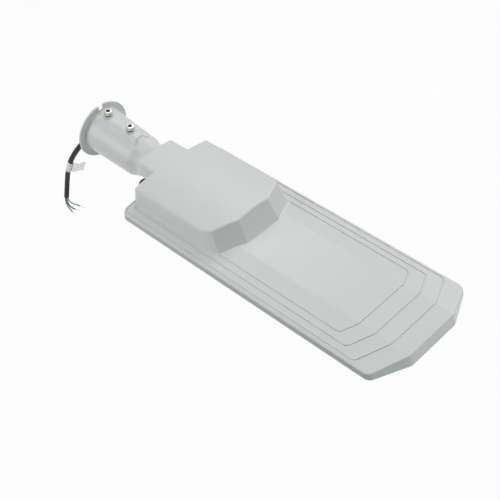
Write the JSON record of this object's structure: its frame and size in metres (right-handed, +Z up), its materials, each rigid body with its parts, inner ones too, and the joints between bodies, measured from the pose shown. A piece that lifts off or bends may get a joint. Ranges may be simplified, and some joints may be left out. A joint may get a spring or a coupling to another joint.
{
  "type": "led street light head",
  "caption": "Flat street lamp head with raised driver box, grooved sloping top, flanged pole socket with clamp screws, underside lens plate and supply cable.",
  "frame": {"origin": "centre of the pole socket's open mouth, in the flange's face", "axes": "+X along the lamp from the pole end to the tip, +Z up, Y across"},
  "size_m": [0.7571, 0.201, 0.2739],
  "materials": {
    "body_grey": "satin powder coat on a die casting",
    "seal_black": "matt rubber",
    "steel": "zinc plated",
    "black_plastic": "fine texture",
    "cable_black": "smooth sheath, slight sheen",
    "core_blue": "smooth",
    "core_brown": "smooth",
    "core_green_yellow": "smooth, green with a yellow stripe",
    "white_plastic": "moulded",
    "driver_case": "extruded and anodised",
    "brass": "stamped",
    "pad_grey": "soft pad",
    "board_white": "white solder mask on aluminium",
    "chip_yellow": "phosphor under clear resin",
    "lens_clear": "moulded clear polycarbonate",
    "seal_grey": "silicone",
    "label_white": "thin film"
  },
  "bodies": {
    "root": {"housing": "body_grey", "spigot": "body_grey", "spigot_seal": "seal_black", "spigot_washers": "steel", "spigot_bolts": "steel", "clamp_screws": "steel", "gland_body": "black_plastic", "gland_nut": "black_plastic", "gland_seal": "seal_black", "gland_locknut": "black_plastic", "vent_plug": "black_plastic", "vent_seal": "seal_black", "cable_entry": "cable_black", "inner_cores": "core_blue", "terminal_block": "white_plastic", "terminal_screws": "steel", "driver_leads": "core_brown", "led_driver": "driver_case", "driver_screws": "steel", "earth_lug": "brass", "earth_screw": "steel", "led_leads": "core_brown", "board_connector": "white_plastic", "thermal_pad": "pad_grey", "led_board": "board_white", "led_chips": "chip_yellow", "board_screws": "steel", "lens_plate": "lens_clear", "lens_gasket": "seal_grey", "lens_screws": "steel", "driver_cover": "body_grey", "cover_gasket": "seal_grey", "cover_screws": "steel", "supply_cable": "cable_black", "cable_tag": "label_white", "wire_blue": "core_blue", "wire_brown": "core_brown", "wire_earth": "core_green_yellow"}
  },
  "joints": []
}
